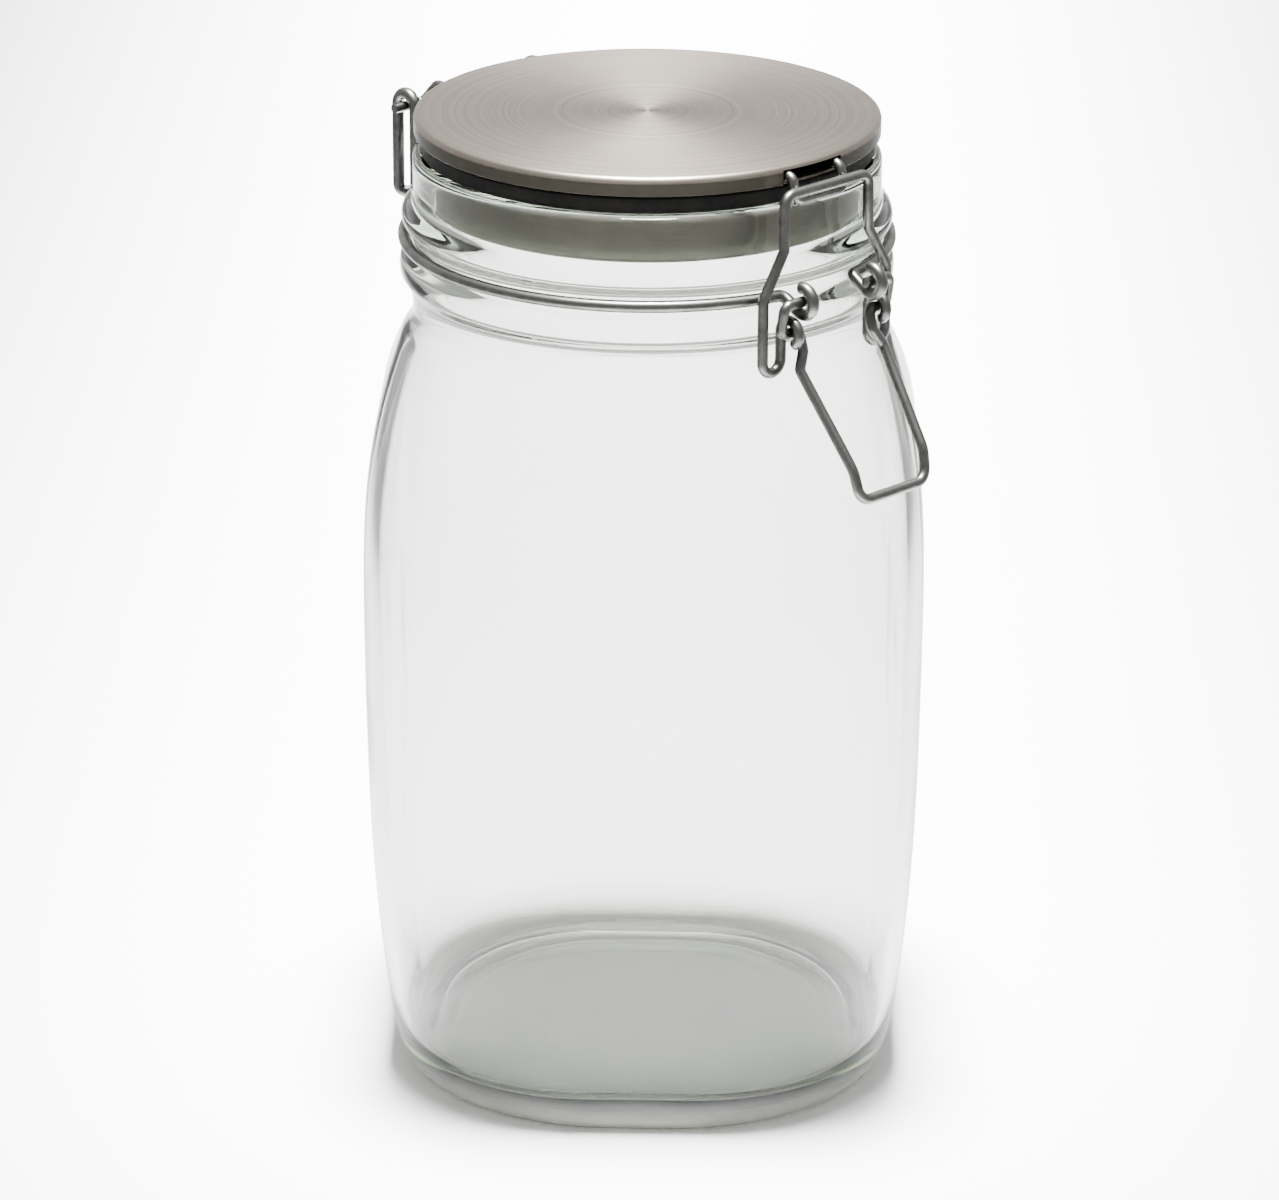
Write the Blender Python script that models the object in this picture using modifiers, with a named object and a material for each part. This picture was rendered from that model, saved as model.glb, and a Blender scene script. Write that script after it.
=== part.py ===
"""Bail clamp jar: a rounded-square glass jar with a steel lid, a rubber ring and a wire clamp.

Metres, +Z up, the origin at the middle of the base on the standing plane. The flat sides of
the body face along X and Y. The clamp is on the corner between +X and -Y and the hinge on the
opposite corner, so everything that belongs to the closure is drawn in its own frame, clamp
toward -Y and hinge toward +Y, and turned an eighth of a turn about Z when it is placed.

Heights of the closure are given as a depth below the top of the lid, and distances as a reach
from the middle axis of the jar.
"""
from math import asin, cos, pi, radians, sin, tan

import bmesh
import bpy
import numpy as np
from mathutils import Matrix, Vector

MM = 0.001
TOP = 215.3 * MM                # top of the lid above the standing plane
CLOSURE_TURN = radians(45)      # the clamp sits on a corner of the body

# Glass body.
SIDES = 48                      # points round the body, a quarter of them on each corner
BODY_CORNER = 34.4 * MM         # corner radius where the body is squarest
RIM_DEPTH = 8.5 * MM
RIM_ROUND = 1.5 * MM
FINISH_RADIUS = 50.3 * MM
MOUTH_RADIUS = 46.3 * MM
GROOVE_RADIUS = 50.7 * MM
WAIST_RADIUS = 50.4 * MM
HALF_WIDTH = 60.5 * MM
WALL = 3.5 * MM
PUSH_UP = 3.0 * MM
FLOOR_HEIGHT = 6.5 * MM
FLOOR_HALF_WIDTH = 48.6 * MM

# Lid.
TURNED_STEPS = 48
DISC_RADIUS = 50.0 * MM
DISC_SHEET = 0.7 * MM
DISC_SKIRT = 4.1 * MM
DISC_EDGE = 1.1 * MM
PLUG_RADIUS = 45.3 * MM
PLUG_SHEET = 0.8 * MM
PLUG_DEPTH = 21.2 * MM
PLUG_CORNER = 2.4 * MM
FLANGE_TOP = 3.75 * MM
FLANGE_UNDER = 4.3 * MM
FLANGE_RADIUS = 48.6 * MM
GASKET_TOP = 4.6 * MM
GASKET_UNDER = 8.2 * MM
GASKET_INNER = 45.7 * MM
GASKET_OUTER = 48.7 * MM

# Lid wire.
LID_WIRE = 2.2 * MM
LID_RING_REACH = 47.6 * MM
LID_RING_DEPTH = 2.3 * MM
CATCH_HALF = 7.0 * MM
CATCH_REACH = 51.6 * MM
CATCH_DEPTH = 7.2 * MM
CATCH_NECK_REACH = 50.4 * MM
HINGE_REACH = 56.0 * MM
HINGE_DEPTH = 7.0 * MM
HINGE_LEG = 14.0 * MM
HINGE_LEG_REACH = 51.6 * MM
HINGE_END = 22.6 * MM

# Neck wire.
NECK_WIRE = 2.6 * MM
NECK_REACH = 52.3 * MM
NECK_DEPTH = 27.0 * MM
HAIRPIN_ACROSS = 19.0 * MM
HAIRPIN_RADIUS = 2.8 * MM
EYE_ACROSS = 10.25 * MM
EYE_RADIUS = 2.9 * MM
EYE_CURL = radians(230)

# Lever.
CLAMP_WIRE = 2.3 * MM
PIVOT_REACH = 57.2 * MM
PIVOT_DEPTH = 27.0 * MM
CRANK_REACH = 56.2 * MM         # nearer the glass than the pivot, so the clamp locks past centre
CRANK_DEPTH = 33.5 * MM
CRANK_ACROSS = 15.7 * MM
TRUNNION_END = 8.4 * MM
LEG_TOP_ACROSS = 10.4 * MM
ELBOW = (10.45 * MM, 57.6 * MM, 37.7 * MM)
KNEE = (12.5 * MM, 58.7 * MM, 41.2 * MM)
HANDLE_CROOK = (10.5 * MM, 72.8 * MM, 60.4 * MM)
HANDLE_HALF = 9.8 * MM
HANDLE_REACH = 74.3 * MM
HANDLE_DEPTH = 66.8 * MM

# Bail.
BAR_HALF = 12.4 * MM
BAR_REACH = 53.6 * MM
BAR_DEPTH = 4.7 * MM
SHOULDER = (12.5 * MM, 53.7 * MM, 16.4 * MM)
BAIL_LEG_ACROSS = 18.35 * MM
BAIL_LEG_TOP = 26.0 * MM
BAIL_EYE_ACROSS = 13.05 * MM
BAIL_EYE_RADIUS = 2.65 * MM
BAIL_EYE_CURL = radians(240)
BAIL_TURN_DEPTH = 39.6 * MM

BEND = 1.6 * MM                 # inside line of the tight bends in all the wires
HANDLE_BEND = 3.2 * MM
CROOK_BEND = 8.0 * MM


# ---------------------------------------------------------------- frames and collections

def front(across, reach, depth):
    """A point on the clamp side of the closure."""
    return Vector((across, -reach, TOP - depth))


def rear(across, reach, depth):
    """A point on the hinge side of the closure."""
    return Vector((across, reach, TOP - depth))


HINGE = rear(0.0, HINGE_REACH, HINGE_DEPTH)
LEVER_PIVOT = front(0.0, PIVOT_REACH, PIVOT_DEPTH)
BAIL_PIVOT = front(0.0, CRANK_REACH, CRANK_DEPTH)
CENTRE = Vector((0.0, 0.0, 0.0))


def clear_scene():
    for item in list(bpy.data.objects):
        bpy.data.objects.remove(item, do_unlink=True)


def new_collection(name):
    group = bpy.data.collections.new(name)
    bpy.context.scene.collection.children.link(group)
    return group


def place(item, group, origin):
    """Put an object drawn about its own origin into the jar's frame."""
    turn = Matrix.Rotation(CLOSURE_TURN, 4, "Z")
    item.matrix_world = turn @ Matrix.Translation(origin)
    group.objects.link(item)
    return item


def surface(name, colour, roughness, metallic, transmission=0.0):
    material = bpy.data.materials.new(name)
    material.use_nodes = True
    shader = material.node_tree.nodes["Principled BSDF"]
    shader.inputs["Base Color"].default_value = (*colour, 1.0)
    shader.inputs["Roughness"].default_value = roughness
    shader.inputs["Metallic"].default_value = metallic
    shader.inputs["Transmission Weight"].default_value = transmission
    material.diffuse_color = (*colour, 1.0)
    material.roughness = roughness
    material.metallic = metallic
    return material


# ---------------------------------------------------------------- wires

def bend(path, radius=BEND, steps=4):
    """The path with every inner corner replaced by a round bend."""
    out = [path[0]]
    for before, corner, after in zip(path, path[1:], path[2:]):
        back = (before - corner).normalized()
        on = (after - corner).normalized()
        half = back.angle(on) / 2
        centre = corner + (back + on).normalized() * radius / sin(half)
        start = (corner + back * radius / tan(half) - centre).normalized()
        end = (corner + on * radius / tan(half) - centre).normalized()
        out += [centre + radius * start.slerp(end, k / steps) for k in range(steps + 1)]
    out.append(path[-1])
    return out


def ring_point(radius, depth, angle):
    """A point of a level ring, the angle counted from the clamp toward +X."""
    return Vector((radius * sin(angle), -radius * cos(angle), TOP - depth))


def ring_arc(radius, depth, first, last, steps):
    angles = np.linspace(first, last, steps + 1)
    return [ring_point(radius, depth, angle) for angle in angles]


def eye_arc(centre, radius, first, last, steps, outward):
    """An arc round a tangential axis: angle 0 points outward, a quarter turn points up."""
    out = []
    for angle in np.linspace(first, last, steps + 1):
        shift = Vector((0.0, outward * radius * cos(angle), radius * sin(angle)))
        out.append(centre + shift)
    return out


def mirrored(half):
    """A whole path from the half that starts on the middle plane and runs on the +X side."""
    other = [Vector((-p.x, p.y, p.z)) for p in reversed(half)]
    return other + half


def wire(name, path, thickness, origin, group, material):
    kept = [path[0]]
    for point in path[1:]:
        if (point - kept[-1]).length > 0.05 * MM:
            kept.append(point)
    curve = bpy.data.curves.new(name, "CURVE")
    curve.dimensions = "3D"
    curve.bevel_depth = thickness / 2
    curve.bevel_resolution = 2
    curve.use_fill_caps = True
    spline = curve.splines.new("POLY")
    spline.points.add(len(kept) - 1)
    for slot, point in zip(spline.points, kept):
        slot.co = (*(point - origin), 1.0)
    item = bpy.data.objects.new(name, curve)
    curve.materials.append(material)
    return place(item, group, origin)


def neck_wire(group, material):
    pivot = Vector((EYE_ACROSS, 0.0, 0.0)) + LEVER_PIVOT
    step_out = PIVOT_REACH - NECK_REACH
    first = pi + asin((step_out ** 2 - EYE_RADIUS ** 2) ** 0.5 / step_out)
    eye = eye_arc(pivot, EYE_RADIUS, first + EYE_CURL, first, 12, -1)
    corner = asin(EYE_ACROSS / NECK_REACH)
    turn_in = ring_point(NECK_REACH, NECK_DEPTH, corner)
    ring_start = corner + radians(5)
    back = pi - asin(HAIRPIN_ACROSS / NECK_REACH)
    ring_end = back - radians(5)
    ring = ring_arc(NECK_REACH, NECK_DEPTH, ring_start, ring_end, 20)
    inner = HINGE_REACH - HAIRPIN_RADIUS
    outer = HINGE_REACH + HAIRPIN_RADIUS
    rise = [ring[-1], ring_point(NECK_REACH, NECK_DEPTH, back),
            rear(HAIRPIN_ACROSS, inner, NECK_DEPTH), rear(HAIRPIN_ACROSS, inner, HINGE_DEPTH)]
    hinge = rear(HAIRPIN_ACROSS, HINGE_REACH, HINGE_DEPTH)
    over = eye_arc(hinge, HAIRPIN_RADIUS, pi, 0.0, 8, 1)
    fall = [over[-1], rear(HAIRPIN_ACROSS, outer, NECK_DEPTH),
            ring_point(NECK_REACH, NECK_DEPTH, pi - radians(13.5)),
            ring_point(NECK_REACH, NECK_DEPTH, pi - radians(6))]
    half = eye + bend([eye[-1], turn_in, ring[0]]) + ring + bend(rise) + over + bend(fall)
    half.append(ring_point(NECK_REACH, NECK_DEPTH, pi))
    half.reverse()
    return wire("neck_wire", mirrored(half), NECK_WIRE, CENTRE, group, material)


def lid_wire(group, material):
    corner = asin(CATCH_HALF / LID_RING_REACH)
    back = pi - asin(HINGE_LEG / LID_RING_REACH)
    ring = ring_arc(LID_RING_REACH, LID_RING_DEPTH, corner + radians(6), back - radians(5), 20)
    catch = [front(0.0, CATCH_REACH, CATCH_DEPTH), front(CATCH_HALF, CATCH_REACH, CATCH_DEPTH),
             front(CATCH_HALF, CATCH_NECK_REACH, LID_RING_DEPTH),
             ring_point(LID_RING_REACH, LID_RING_DEPTH, corner), ring[0]]
    leg = [ring[-1], ring_point(LID_RING_REACH, LID_RING_DEPTH, back),
           rear(HINGE_LEG, HINGE_LEG_REACH, LID_RING_DEPTH),
           rear(HINGE_LEG, HINGE_REACH, HINGE_DEPTH),
           rear(HINGE_END, HINGE_REACH, HINGE_DEPTH)]
    half = bend(catch) + ring + bend(leg)
    return wire("lid_wire", mirrored(half), LID_WIRE, HINGE, group, material)


def lever_wire(group, material):
    corner = front(HANDLE_HALF, HANDLE_REACH, HANDLE_DEPTH)
    crook, knee = front(*HANDLE_CROOK), front(*KNEE)
    grip, leg = (corner + crook) / 2, (crook + knee) / 2
    crank = [leg, knee, front(*ELBOW), front(LEG_TOP_ACROSS, CRANK_REACH, CRANK_DEPTH),
             front(CRANK_ACROSS, CRANK_REACH, CRANK_DEPTH),
             front(CRANK_ACROSS, PIVOT_REACH, PIVOT_DEPTH),
             front(TRUNNION_END, PIVOT_REACH, PIVOT_DEPTH)]
    half = bend([front(0.0, HANDLE_REACH, HANDLE_DEPTH), corner, grip], HANDLE_BEND, 6)
    half += bend([grip, crook, leg], CROOK_BEND) + bend(crank)
    return wire("lever_wire", mirrored(half), CLAMP_WIRE, LEVER_PIVOT, group, material)


def bail_wire(group, material):
    reach = CRANK_REACH - BAIL_EYE_RADIUS
    leg_end = front(BAIL_LEG_ACROSS, reach, BAIL_TURN_DEPTH)
    top = bend([front(0.0, BAR_REACH, BAR_DEPTH), front(BAR_HALF, BAR_REACH, BAR_DEPTH),
                front(*SHOULDER)], 2.4 * MM, 5)
    leg = bend([front(*SHOULDER), front(BAIL_LEG_ACROSS, reach, BAIL_LEG_TOP), leg_end], 4 * MM)
    radius = (BAIL_LEG_ACROSS - BAIL_EYE_ACROSS) / 2
    hairpin = []
    for angle in np.linspace(0.0, -pi, 9):
        shift = Vector((radius * (cos(angle) - 1), 0.0, radius * sin(angle)))
        hairpin.append(leg_end + shift)
    pivot = Vector((BAIL_EYE_ACROSS, 0.0, 0.0)) + BAIL_PIVOT
    eye = eye_arc(pivot, BAIL_EYE_RADIUS, pi, pi - BAIL_EYE_CURL, 12, -1)
    half = top + leg + hairpin + eye
    return wire("bail_wire", mirrored(half), CLAMP_WIRE, BAIL_PIVOT, group, material)


# ---------------------------------------------------------------- turned pieces of the lid

def round_corner(centre_x, centre_z, radius, first, last, steps=4):
    out = []
    for angle in np.linspace(radians(first), radians(last), steps + 1):
        out.append((centre_x + radius * cos(angle), centre_z + radius * sin(angle)))
    return out


def turned(name, outline, closed, group, material, cutters=()):
    """A body of revolution about the jar's axis, drawn about the hinge axis as its origin."""
    mesh = bpy.data.meshes.new(name)
    points = [(x, 0.0, z) for x, z in outline]
    edges = [(k, k + 1) for k in range(len(points) - 1)]
    if closed:
        edges.append((len(points) - 1, 0))
    mesh.from_pydata(points, edges, [])
    mesh.materials.append(material)
    item = bpy.data.objects.new(name, mesh)
    screw = item.modifiers.new("turn", "SCREW")
    screw.axis = "Z"
    screw.angle = 2 * pi
    screw.steps = TURNED_STEPS
    screw.render_steps = TURNED_STEPS
    screw.use_merge_vertices = True
    screw.merge_threshold = 0.00001
    screw.use_smooth_shade = False
    for number, cutter in enumerate(cutters):
        cut = item.modifiers.new("notch_%d" % number, "BOOLEAN")
        cut.operation = "DIFFERENCE"
        cut.solver = "EXACT"
        cut.object = cutter
    return place(item, group, CENTRE)


def notch_cutter(name, across, half_width, reach, group):
    """A block that opens the skirt of the disc where a wire passes through it."""
    low = TOP - DISC_SKIRT - 1.0 * MM
    high = TOP - LID_RING_DEPTH + LID_WIRE / 2 + 0.35 * MM
    outside = DISC_RADIUS + 3.0 * MM
    mesh = bpy.data.meshes.new(name)
    builder = bmesh.new()
    bmesh.ops.create_cube(builder, size=1.0)
    side = 1.0 if reach > 0 else -1.0
    middle = side * (abs(reach) + outside) / 2
    scale = Matrix.Diagonal((2 * half_width, outside - abs(reach), high - low, 1.0))
    shift = Matrix.Translation((across, middle, (low + high) / 2))
    bmesh.ops.transform(builder, matrix=shift @ scale, verts=builder.verts)
    builder.to_mesh(mesh)
    builder.free()
    item = bpy.data.objects.new(name, mesh)
    item.display_type = "WIRE"
    item.hide_render = True
    return place(item, group, CENTRE)


def lid_disc(group, cutters, material):
    slack = LID_WIRE / 2 + 0.4 * MM
    inside = 41.0 * MM
    notches = [notch_cutter("catch_notch", 0.0, CATCH_HALF + slack, -44.0 * MM, cutters)]
    for side in (-1, 1):
        name = "hinge_notch_%s" % ("left" if side < 0 else "right")
        notches.append(notch_cutter(name, side * HINGE_LEG, slack, inside, cutters))
    under = TOP - DISC_SHEET
    low = TOP - DISC_SKIRT
    outline = [(0.0, TOP)]
    outline += round_corner(DISC_RADIUS - DISC_EDGE, TOP - DISC_EDGE, DISC_EDGE, 90, 0)
    outline += [(DISC_RADIUS, low), (DISC_RADIUS - DISC_SHEET, low)]
    outline += [(DISC_RADIUS - DISC_SHEET, under - 0.4 * MM)]
    outline += [(DISC_RADIUS - DISC_SHEET - 0.4 * MM, under), (0.0, under)]
    return turned("lid_disc", outline, False, group, material, notches)


def lid_plug(group, material):
    top = TOP - FLANGE_TOP
    under = TOP - FLANGE_UNDER
    low = TOP - PLUG_DEPTH
    inner = PLUG_RADIUS - PLUG_SHEET
    floor = low + PLUG_SHEET
    rest = PLUG_CORNER - PLUG_SHEET
    outline = [(0.0, floor)]
    outline += round_corner(inner - rest, floor + rest, rest, -90, 0)
    outline += [(inner, top), (FLANGE_RADIUS, top), (FLANGE_RADIUS, under), (PLUG_RADIUS, under)]
    outline += round_corner(PLUG_RADIUS - PLUG_CORNER, low + PLUG_CORNER, PLUG_CORNER, 0, -90)
    outline += [(0.0, low)]
    return turned("lid_plug", outline, False, group, material)


def lid_gasket(group, material):
    soft = 0.5 * MM
    top = TOP - GASKET_TOP
    low = TOP - GASKET_UNDER
    outline = [(GASKET_INNER, top), (GASKET_OUTER - soft, top), (GASKET_OUTER, top - soft),
               (GASKET_OUTER, low + soft), (GASKET_OUTER - soft, low), (GASKET_INNER, low)]
    return turned("lid_gasket", outline, True, group, material)


# ---------------------------------------------------------------- glass body

def section(half_width, corner, height):
    """A level rounded square, or a circle where the corner radius is the half width."""
    out = []
    quarter = SIDES // 4
    for k in range(SIDES):
        side = k // quarter
        angle = (k + 0.5) * 2 * pi / SIDES
        middle = (side + 0.5) * pi / 2
        offset = (half_width - corner) * 2 ** 0.5
        x = offset * cos(middle) + corner * cos(angle)
        y = offset * sin(middle) + corner * sin(angle)
        out.append((x, y, height))
    return out


def eased(stations, count):
    """Stations (height, half width, corner) joined by a smooth curve with no overshoot."""
    rows = np.array(stations, dtype=float)
    run = np.diff(rows[:, 0])
    slope = np.diff(rows[:, 1:], axis=0) / run[:, None]
    lean = np.zeros_like(rows[:, 1:])
    lean[0] = slope[0]
    lean[-1] = slope[-1]
    same = slope[1:] * slope[:-1] > 0
    both = np.where(same, slope[1:] + slope[:-1], 1.0)
    lean[1:-1] = np.where(same, 2 * slope[1:] * slope[:-1] / both, 0.0)
    out = []
    for k, width in enumerate(run):
        for t in np.arange(count) / count:
            a = (1 + 2 * t) * (1 - t) ** 2 * rows[k, 1:] + t * (1 - t) ** 2 * width * lean[k]
            b = t * t * (3 - 2 * t) * rows[k + 1, 1:] + t * t * (t - 1) * width * lean[k + 1]
            out.append((rows[k, 0] + t * width, *(a + b)))
    out.append(tuple(rows[-1]))
    return out


def neck_outside():
    """Round part of the outside, from the rim down to the waist under the wire."""
    centre = FINISH_RADIUS - RIM_ROUND
    rim = round_corner(centre, TOP - RIM_DEPTH - RIM_ROUND, RIM_ROUND, 90, 0, 3)
    rows = [(height, radius) for radius, height in rim]
    rows.append((TOP - 17.5 * MM, FINISH_RADIUS))
    rows.append((TOP - 19.8 * MM, 51.9 * MM))
    rows.append((TOP - 21.8 * MM, 52.8 * MM))
    rows.append((TOP - 23.4 * MM, 52.6 * MM))
    rows.append((TOP - 25.2 * MM, GROOVE_RADIUS))
    rows.append((TOP - 28.8 * MM, GROOVE_RADIUS))
    rows.append((TOP - 30.4 * MM, 52.6 * MM))
    rows.append((TOP - 32.2 * MM, 53.2 * MM))
    rows.append((TOP - 34.2 * MM, 53.2 * MM))
    rows.append((TOP - 35.8 * MM, 52.4 * MM))
    rows.append((TOP - 37.4 * MM, 51.4 * MM))
    rows.append((TOP - 40.0 * MM, 50.7 * MM))
    return [(height, radius, radius) for height, radius in rows]


def shoulder_outside():
    """From the round waist to the rounded square of the body."""
    stations = [(TOP - 43.0 * MM, WAIST_RADIUS, WAIST_RADIUS),
                (TOP - 46.0 * MM, 51.3 * MM, 51.3 * MM),
                (TOP - 50.0 * MM, 53.5 * MM, 51.0 * MM),
                (TOP - 56.0 * MM, 56.0 * MM, 46.4 * MM),
                (TOP - 65.0 * MM, 58.3 * MM, 39.6 * MM),
                (TOP - 79.0 * MM, 59.9 * MM, 35.0 * MM),
                (TOP - 94.0 * MM, HALF_WIDTH, BODY_CORNER)]
    return eased(stations, 2)


def heel_outside():
    """The long lower edge, the flat foot and the push-up under the base, in millimetres."""
    rows = [(90.0, 60.35, 37.5), (60.0, 59.9, 41.0), (40.0, 59.0, 43.6), (26.0, 57.9, 45.2),
            (16.0, 56.8, 46.2), (9.0, 55.9, 46.9), (4.5, 55.1, 47.1), (2.0, 54.4, 47.0),
            (0.6, 53.7, 46.7), (0.0, 53.0, 46.2), (0.0, 49.5, 42.7), (0.8, 47.5, 40.7),
            (1.8, 43.0, 36.5), (2.6, 37.0, 31.0)]
    rows = [(height * MM, half * MM, corner * MM) for height, half, corner in rows]
    return rows + [(PUSH_UP, 30.0 * MM, 25.0 * MM)]


def inside():
    """The hollow from the floor up to the mouth."""
    rows = [(7.2, 50.6, 39.2), (9.4, 52.2, 41.2), (15.0, 53.5, 42.6), (26.0, 54.6, 42.0),
            (40.0, 55.6, 40.3), (60.0, 56.4, 37.6), (90.0, 56.85, 34.1)]
    out = [(FLOOR_HEIGHT, FLOOR_HALF_WIDTH, 37.0 * MM)]
    out += [(height * MM, half * MM, corner * MM) for height, half, corner in rows]
    for height, half, corner in reversed(shoulder_outside()):
        out.append((height - 0.8 * MM, half - WALL, corner - WALL))
    out.append((TOP - 36.0 * MM, MOUTH_RADIUS + 0.3 * MM, MOUTH_RADIUS + 0.3 * MM))
    out.append((TOP - 31.0 * MM, MOUTH_RADIUS, MOUTH_RADIUS))
    lip = round_corner(MOUTH_RADIUS + 1.2 * MM, TOP - RIM_DEPTH - 1.2 * MM, 1.2 * MM, 180, 90, 3)
    return out + [(height, radius, radius) for radius, height in lip]


def jar_body(group, material):
    rows = neck_outside() + shoulder_outside() + heel_outside()
    rings = [section(half, corner, height) for height, half, corner in rows]
    turn_over = len(rings)
    rings += [section(half, corner, height) for height, half, corner in inside()]
    builder = bmesh.new()
    verts = [[builder.verts.new(point) for point in ring] for ring in rings]
    for k in range(len(verts)):
        after = (k + 1) % len(verts)
        if after == turn_over:
            continue
        for j in range(SIDES):
            on = (j + 1) % SIDES
            builder.faces.new((verts[k][j], verts[after][j], verts[after][on], verts[k][on]))
    builder.faces.new(list(reversed(verts[turn_over - 1])))
    builder.faces.new(verts[turn_over])
    bmesh.ops.recalc_face_normals(builder, faces=builder.faces)
    mesh = bpy.data.meshes.new("jar_body")
    builder.to_mesh(mesh)
    builder.free()
    mesh.materials.append(material)
    item = bpy.data.objects.new("jar_body", mesh)
    group.objects.link(item)
    return item


def main():
    clear_scene()
    group = new_collection("bail_clamp_jar")
    cutters = new_collection("cutters")
    glass = surface("clear_glass", (0.86, 0.90, 0.88), 0.02, 0.0, 1.0)
    disc = surface("brushed_steel", (0.62, 0.59, 0.56), 0.32, 1.0)
    plug = surface("satin_steel", (0.44, 0.42, 0.38), 0.42, 1.0)
    rubber = surface("black_rubber", (0.018, 0.018, 0.018), 0.62, 0.0)
    sprung = surface("bright_wire", (0.55, 0.55, 0.53), 0.22, 1.0)
    clamp = surface("clamp_wire", (0.50, 0.50, 0.48), 0.24, 1.0)
    jar_body(group, glass)
    neck_wire(group, sprung)
    lid_disc(group, cutters, disc)
    lid_plug(group, plug)
    lid_gasket(group, rubber)
    lid_wire(group, sprung)
    lever_wire(group, clamp)
    bail_wire(group, clamp)


main()
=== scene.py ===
"""Bail clamp jar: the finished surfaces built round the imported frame."""
from math import asin, cos, pi, radians, sin, tan

import bmesh
import bpy
import numpy as np
from mathutils import Matrix, Vector


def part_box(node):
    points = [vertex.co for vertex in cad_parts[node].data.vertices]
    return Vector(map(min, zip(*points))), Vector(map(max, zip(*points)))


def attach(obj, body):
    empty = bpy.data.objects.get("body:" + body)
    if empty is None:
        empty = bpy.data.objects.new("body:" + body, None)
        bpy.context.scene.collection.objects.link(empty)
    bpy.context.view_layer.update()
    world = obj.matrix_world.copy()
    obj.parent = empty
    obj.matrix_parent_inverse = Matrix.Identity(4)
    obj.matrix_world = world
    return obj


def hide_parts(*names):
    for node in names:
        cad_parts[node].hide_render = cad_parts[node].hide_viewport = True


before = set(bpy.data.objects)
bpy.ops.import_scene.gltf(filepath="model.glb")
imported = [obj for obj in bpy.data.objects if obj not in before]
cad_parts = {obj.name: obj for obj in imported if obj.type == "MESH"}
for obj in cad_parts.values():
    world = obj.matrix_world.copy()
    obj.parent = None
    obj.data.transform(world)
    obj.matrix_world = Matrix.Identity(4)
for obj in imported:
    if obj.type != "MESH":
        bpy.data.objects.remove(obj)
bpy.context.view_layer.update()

MM = 0.001
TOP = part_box("lid_disc")[1][2]
CLOSURE_TURN = radians(45)

# The clamp and the hinge: reach is out from the jar's axis, depth is down from the top,
# across is sideways from the middle of the closure. Then how thick the wires are.
HINGE_REACH, HINGE_DEPTH = 56.0 * MM, 7.0 * MM
PIVOT_REACH, PIVOT_DEPTH = 57.2 * MM, 27.0 * MM
CRANK_REACH, CRANK_DEPTH = 56.2 * MM, 33.5 * MM
LID_LEG_ACROSS = 14.0 * MM
NECK_WIRE, LID_WIRE, CLAMP_WIRE = 2.6 * MM, 2.2 * MM, 2.3 * MM

DISC_RADIUS, DISC_SHEET, DISC_SKIRT, DISC_EDGE = 50.0 * MM, 0.7 * MM, 4.1 * MM, 1.1 * MM
NOTCH_TOP, NOTCH_UNDER = 0.85 * MM, 5.1 * MM
PLUG_RADIUS, PLUG_SHEET, PLUG_DEPTH, PLUG_CORNER = 45.3 * MM, 0.8 * MM, 21.2 * MM, 2.4 * MM
FLANGE_RADIUS, FLANGE_TOP, FLANGE_UNDER = 48.6 * MM, 3.75 * MM, 4.3 * MM
GASKET_INNER, GASKET_OUTER, GASKET_SOFT = 45.7 * MM, 48.7 * MM, 0.6 * MM
GASKET_TOP, GASKET_UNDER = 4.6 * MM, 8.2 * MM

RIM_RADIUS, MOUTH_RADIUS, RIM_DEPTH = 50.3 * MM, 46.3 * MM, 8.5 * MM
RIM_ROUND, LIP_ROUND = 1.5 * MM, 1.2 * MM
PUSH_UP, FLOOR_HEIGHT, SHOULDER_WALL = 3.0 * MM, 6.5 * MM, 3.5 * MM

# The heights between which the glass wall's curvature is evened out, and how many times.
BODY_STRETCH, EVENING_ROUNDS = (18.0 * MM, 166.0 * MM), 110

# How finely the glass and the lid's pieces are divided, and the angle that stays a sharp edge.
AROUND, TURNED = 192, 256
SHARP_ANGLE, GLASS_SHARP_ANGLE = radians(35), radians(60)

CAMERA_PLACE = (0.01795, -1.17904, 0.55709)
CAMERA_YAW, CAMERA_PITCH, CAMERA_ROLL = -0.0163, 0.3674, 0.0043
CAMERA_LENS = 161.25
FLOOR_GAP = 0.0001
FLOOR_HALF = 6.0
FLOOR_COLOUR = (0.93, 0.93, 0.93, 1.0)
LAMP_PLACE = (0.0, 0.60, 1.3)
LAMP_SIZE = (0.30, 1.6)
LAMP_POWER = 30.0
LAMP_SPREAD = radians(26)

# How bright the room is: by height, from 0 straight down through 0.5 level to 1 straight up, and
# by depth, from 0 behind the camera to 1 behind the jar.
ROOM_STRENGTH = 1.5
ROOM_BY_HEIGHT = ((0.0, 1.0), (0.5, 1.0), (0.60, 0.5), (0.75, 0.7))
ROOM_BY_DEPTH = ((0.0, 0.35), (0.5, 0.6), (0.85, 1.0))


# ---------------------------------------------------------------- camera, light and floor

def add_camera():
    """The view of the photograph: a long lens, 1 degree right of the front and 21 degrees up."""
    yaw, pitch, roll = CAMERA_YAW, CAMERA_PITCH, CAMERA_ROLL
    ahead = Vector((sin(yaw) * cos(pitch), cos(yaw) * cos(pitch), -sin(pitch)))
    level = Vector((cos(yaw), -sin(yaw), 0.0))
    above = level.cross(ahead)
    right = cos(roll) * level + sin(roll) * above
    up = -sin(roll) * level + cos(roll) * above
    data = bpy.data.cameras.new("camera")
    data.sensor_width = 36.0
    data.lens = CAMERA_LENS
    data.clip_end = 50.0
    camera = bpy.data.objects.new("camera", data)
    bpy.context.scene.collection.objects.link(camera)
    turn = Matrix((right, up, -ahead)).transposed().to_4x4()
    camera.matrix_world = Matrix.Translation(CAMERA_PLACE) @ turn
    bpy.context.scene.camera = camera


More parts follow.
